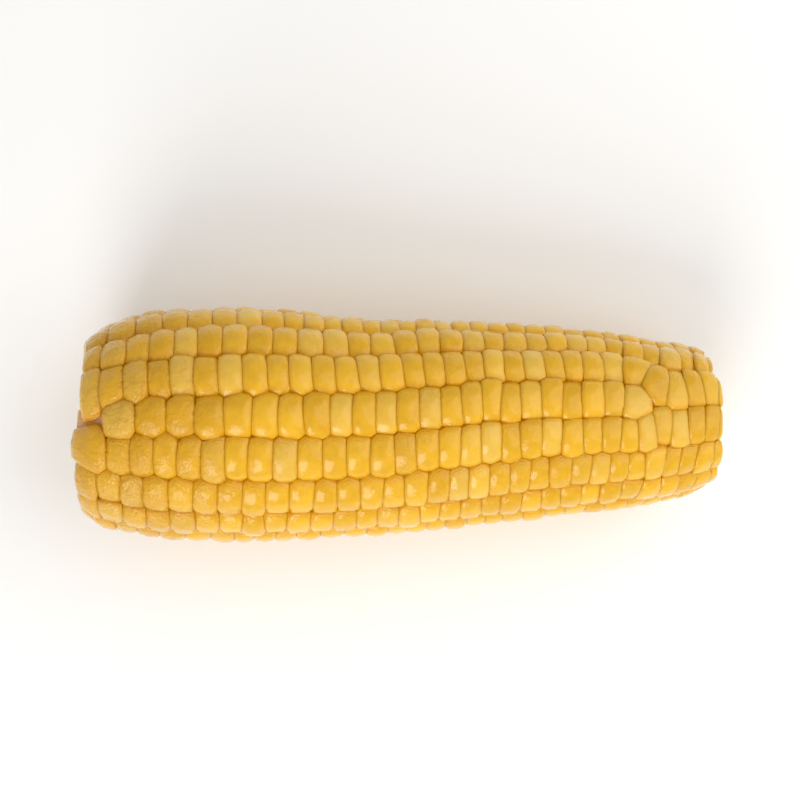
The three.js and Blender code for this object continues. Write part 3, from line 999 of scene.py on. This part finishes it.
@dataclass
class KernelRows:
    """All kernels of the ear, one piece for each row."""

    plan: KernelPlan
    shape: KernelShape
    model: Object
    skin: Material
    flesh: Material
    tissue: Material
    look: KernelLook = KernelLook()
    top_above: float = 0.55
    crease_angle: float = math.radians(60)

    def build(self) -> list[Object]:
        """Builds every row and the empty socket, and returns the pieces."""
        kernels = self.plan.kernels()
        pieces = []
        for row in sorted({kernel.row for kernel in kernels}):
            members = [k for k in kernels if k.row == row and not k.missing]
            pieces.append(self.build_row(f"kernel_row_{row + 1:02d}", members))
        for kernel in kernels:
            if kernel.missing:
                pieces.append(self.build_row("empty_socket", [kernel]))
        LOG.info("%d kernels in %d pieces", len(kernels), len(pieces))
        return pieces

    def build_row(self, name: str, kernels: list[Kernel]) -> Object:
        """Copies the kernel model to each place of a row and joins the copies.

        Args:
            name: the piece's name.
            kernels: the kernels in it.

        Returns:
            The finished piece, riding on the ear.
        """
        bpy.ops.object.select_all(action="DESELECT")
        copies = []
        for kernel in kernels:
            copy = self.model.copy()
            copy.data = self.model.data.copy()
            bpy.context.scene.collection.objects.link(copy)
            self.fit(copy.data, kernel)
            copy.select_set(True)
            copies.append(copy)
        bpy.context.view_layer.objects.active = copies[0]
        if len(copies) > 1:
            bpy.ops.object.join()
        piece = bpy.context.active_object
        piece.name = name
        piece.data.name = name
        bpy.ops.object.shade_smooth_by_angle(angle=self.crease_angle)
        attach(piece, "root")
        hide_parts("kernels")
        return piece

    def fit(self, mesh: Mesh, kernel: Kernel) -> None:
        """Bends a copy of the kernel model into a kernel's own cell.

        Args:
            mesh: the copy's mesh, which is changed.
            kernel: the place it takes.
        """
        plan, shape, form = self.plan, self.shape, self.plan.form
        model = np.array([v.co for v in mesh.vertices])
        top = model[:, 2] > self.top_above
        share = np.hypot(model[:, 0], model[:, 1])
        corners, sides = shape.sides(kernel, plan)
        directions, at_corner = shape.snap(np.arctan2(model[:, 1], model[:, 0]), corners)
        rays = np.stack((np.cos(directions), shape.aspect * np.sin(directions)), axis=1)
        reach, at_cut = shape.outline(sides, rays, at_corner)
        real = rays * (reach * share)[:, None]
        spare = np.where(at_cut, 0, shape.room(sides, rays * reach[:, None], True))
        edge = shape.room(sides, real, True) - spare * share
        rim = np.clip(shape.room(sides, real, False) / shape.rim_width, 0, 1)
        radian = form.crown(kernel.along)
        middle = np.array([(c[0], c[1] / plan.round_weight) for c in kernel.cell]).mean(axis=0)
        across = real[:, 1] / np.abs(real[:, 1]).max()

        drop = shape.drop(kernel, real, share, edge, radian / STANDARD_RADIUS)
        drop += np.where(at_cut & (share > shape.rim_share), shape.cut_drop, 0)
        inwards = -np.sign(kernel.along) * shape.cut_round * np.abs(across) ** shape.cut_power
        inwards = np.where(at_cut & top & (share > shape.cut_share), inwards * share, 0)

        points = []
        colours = np.zeros((len(model), 4))
        place = middle[0] + real[:, 0]
        for i, (along, turn) in enumerate(zip(place, middle[1] + real[:, 1] / radian)):
            if min(along - form.butt_cut, form.tip_cut - along) >= ON_CUT:
                along = max(along + plan.sway(kernel.row, across[i]), form.butt_cut)
            along = plan.trim(kernel.row, along) + inwards[i]
            crown, root = form.crown(along), form.core(along)
            radius = crown - drop[i] if top[i] else root
            points.append(form.point(along, turn, radius))
            depth = (radius - root) / (crown - root)
            # Red is how far in from the kernel's edge a point lies, which sets where painted seam and
            # edge shade fall on the skin; green is its depth between root and crown; blue its place
            # across the row.
            colours[i] = (rim[i] if top[i] else 0, depth, (1 + across[i]) / 2, 1)
            if kernel.missing:
                colours[i][0] = self.look.socket_tone + self.look.socket_rim * rim[i]
        write_colours(mesh, "shape", colours)
        write_colours(mesh, "kind", np.tile(self.look.kind(kernel), (len(model), 1)))
        mesh.materials.append(self.tissue if kernel.missing else self.skin)
        mesh.materials.append(self.flesh)
        on_cut = np.minimum(np.abs(place - form.butt_cut), np.abs(place - form.tip_cut)) < ON_CUT
        for face in mesh.polygons:
            if all(on_cut[v] for v in face.vertices):
                face.material_index = Face.FLESH
        move_points(mesh, points)


@dataclass
class KernelBed:
    """What the kernels share below their crowns: the soft walls where one grows against the next."""

    plan: KernelPlan
    shape: KernelShape
    skin: Material
    sides: int = 96
    rings: int = 110
    wall: float = 0.5
    outer_share: float = 0.8
    socket_reach: float = 4.2
    socket_aspect: float = 0.6
    socket_floor: float = 0.6
    socket_brim: float = 1.25
    end_room: float = 2.6
    # Sets the bed's shape attribute at a kernel's very edge, so the skin paints it with the seam and
    # edge shade and the gaps between kernels look like deep crevices.
    seam_shade_shape: Colour = (0.02, 0.5, 0.5, 1.0)
    seam_kind: Colour = (0.0, 0.5, 0.1, 1.0)

    def build(self) -> Object:
        """Models the bed as a sleeve, its bore bridged through, and returns the finished piece."""
        form = self.plan.form
        bed = ringed_rod("kernel_bed", self.sides, self.rings, form.tip_cut - form.butt_cut)
        bpy.ops.mesh.inset(thickness=self.wall)
        bpy.ops.mesh.bridge_edge_loops()
        bpy.ops.object.mode_set(mode="OBJECT")
        self.fit(bed.data)
        bed.data.materials.append(self.skin)
        bpy.ops.object.shade_smooth_by_angle(angle=CREASE)
        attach(bed, "root")
        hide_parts("kernels")
        return bed

    def fit(self, mesh: Mesh) -> None:
        """Bends the plain sleeve under the kernels and sinks it at the empty socket."""
        form = self.plan.form
        sockets = [k for k in self.plan.kernels() if k.missing]
        points = []
        squeeze = 1 - 2 * self.end_room / (form.tip_cut - form.butt_cut)
        for vertex in mesh.vertices:
            turn = math.atan2(-vertex.co.y, vertex.co.x)
            along = form.butt_cut + self.end_room + vertex.co.z * squeeze
            crown = form.crown(along)
            radius = form.core(along)
            if math.hypot(vertex.co.x, vertex.co.y) > self.outer_share:
                radius = crown - self.shape.bed_depth * crown / STANDARD_RADIUS
                for socket in sockets:
                    aside = (turn - socket.turn) * crown * self.socket_aspect
                    away = np.array(math.hypot(along - socket.along, aside) / self.socket_reach)
                    sink = 1 - float(smooth_step(self.socket_floor, self.socket_brim, away))
                    radius -= sink * self.shape.socket_depth
            points.append(form.point(along, turn, radius))
        write_colours(mesh, "shape", np.tile(self.seam_shade_shape, (len(points), 1)))
        write_colours(mesh, "kind", np.tile(self.seam_kind, (len(points), 1)))
        move_points(mesh, points)


@dataclass
class CobCore:
    """The woody core, seen at the two cut ends."""

    form: EarForm
    tissue: Material
    sides: int = 72
    rings: int = 48
    end_rings: tuple[float, ...] = (0.86, 0.8, 0.75, 0.75, 0.7, 0.6, 0.5)
    rim_share: float = 0.999
    pith_deep: float = 0.2
    pith_edge: float = 0.52
    pith_dip: float = 0.6
    grain: float = 0.12
    butt_room: float = 2.2
    butt_reach: float = 8.8

    def build(self) -> Object:
        """Models the core with its pith at both ends, and returns the finished piece."""
        core = ringed_rod("cob", self.sides, self.rings, self.form.tip_cut - self.form.butt_cut)
        for share in self.end_rings:
            bpy.ops.mesh.extrude_region_move(TRANSFORM_OT_translate={"value": (0, 0, 0)})
            bpy.ops.transform.resize(value=(share, share, 1))
        bpy.ops.mesh.poke()
        bpy.ops.object.mode_set(mode="OBJECT")
        self.shape(core.data)
        core.data.materials.append(self.tissue)
        bpy.ops.object.shade_smooth_by_angle(angle=CREASE)
        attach(core, "root")
        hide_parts("cob_core")
        return core

    def shape(self, mesh: Mesh) -> None:
        """Bends the plain rod to the ear's axis and gives its ends their relief."""
        form = self.form
        length = form.tip_cut - form.butt_cut
        colours = np.ones((len(mesh.vertices), 4))
        points = []
        for i, vertex in enumerate(mesh.vertices):
            share = math.hypot(vertex.co.x, vertex.co.y)
            turn = math.atan2(-vertex.co.y, vertex.co.x)
            along = form.butt_cut + vertex.co.z
            at_end = min(vertex.co.z, length - vertex.co.z) < ON_CUT
            if at_end and share < self.rim_share:
                inward = 1 if vertex.co.z < length / 2 else -1
                pith = 1 - float(smooth_step(self.pith_deep, self.pith_edge, np.array(share)))
                along += inward * (self.pith_dip * pith + self.grain * (1 + draw(i * 3 + 1)))
            away = along - form.butt_cut
            if away < self.butt_reach:
                along += self.butt_room * (1 - away / self.butt_reach)
            points.append(form.point(along, turn, share * form.core(along)))
            colours[i] = (share, 0, 0, 1)
        write_colours(mesh, "shape", colours)
        move_points(mesh, points)


@dataclass(frozen=True)
class Softbox:
    """A rectangular light that faces the ear: its place and size in metres, its power in watts."""

    name: str
    place: Triple
    size: tuple[float, float]
    power: float

    def hang(self) -> None:
        """Adds the light to the scene."""
        data = bpy.data.lights.new(self.name, "AREA")
        data.shape = "RECTANGLE"
        data.size, data.size_y = self.size
        data.energy = self.power
        light = bpy.data.objects.new(self.name, data)
        light.location = self.place
        light.rotation_euler = (-Vector(self.place)).to_track_quat("-Z", "Y").to_euler()
        bpy.context.scene.collection.objects.link(light)


@dataclass
class Studio:
    """The floor, the lights and the camera."""

    form: EarForm
    softboxes: tuple[Softbox, ...] = (
        Softbox("front_softbox", (-0.17, -0.58, 0.47), (0.42, 0.52), 3.25),
        Softbox("right_softbox", (0.45, 0.12, 0.42), (0.8, 0.8), 2.35),
    )
    floor_width: float = 6
    camera_sight: float = 20
    camera_height: float = 400 * MM
    frame_width: float = 182.9 * MM
    sensor_width: float = 36.0
    aim: tuple[float, float] = (0.46 * MM, 5.49 * MM)
    sky: str = "#ffffff"
    sky_strength: float = 0.54

    def build(self) -> None:
        """Sets up everything that isn't part of the ear."""
        self.floor()
        self.world()
        for softbox in self.softboxes:
            softbox.hang()
        self.camera()

    def floor(self) -> None:
        """Lays a wide pale floor."""
        bpy.ops.mesh.primitive_plane_add(size=self.floor_width)
        floor = bpy.context.active_object
        floor.name = "floor"
        floor.data.materials.append(PaleFloor().build())

    def world(self) -> None:
        """Gives an even soft light from all round."""
        world = bpy.data.worlds.new("soft_sky")
        bpy.context.scene.world = world
        world.use_nodes = True
        background = world.node_tree.nodes["Background"]
        background.inputs["Color"].default_value = hex_colour(self.sky)
        background.inputs["Strength"].default_value = self.sky_strength

    def camera(self) -> None:
        """Looks straight down on the ear, as the photograph does."""
        data = bpy.data.cameras.new("camera")
        data.sensor_width = self.sensor_width
        data.lens = self.sensor_width * self.camera_height / self.frame_width
        data.clip_end = self.camera_sight
        camera = bpy.data.objects.new("camera", data)
        camera.location = (*self.aim, self.form.axis_height * MM + self.camera_height)
        bpy.context.scene.collection.objects.link(camera)
        bpy.context.scene.camera = camera


def main() -> None:
    """Builds the ear and the studio round it."""
    logging.basicConfig(level=logging.INFO, format="%(name)s: %(message)s")
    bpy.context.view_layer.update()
    form = EarForm()
    Studio(form).build()
    tissue = CobTissue().build()
    model = KernelModel().build()
    rows = KernelRows(
        KernelPlan(form), KernelShape(), model, KernelSkin().build(), KernelFlesh().build(), tissue,
    )
    pieces = [*rows.build(), KernelBed(rows.plan, rows.shape, rows.skin).build()]
    pieces.append(CobCore(form, tissue).build())
    for piece in pieces:
        LOG.info("%s: %d faces", piece.name, len(piece.data.polygons))
    bpy.data.objects.remove(model, do_unlink=True)
    bpy.context.scene.view_settings.view_transform = "Standard"


if __name__ == "__main__":
    main()
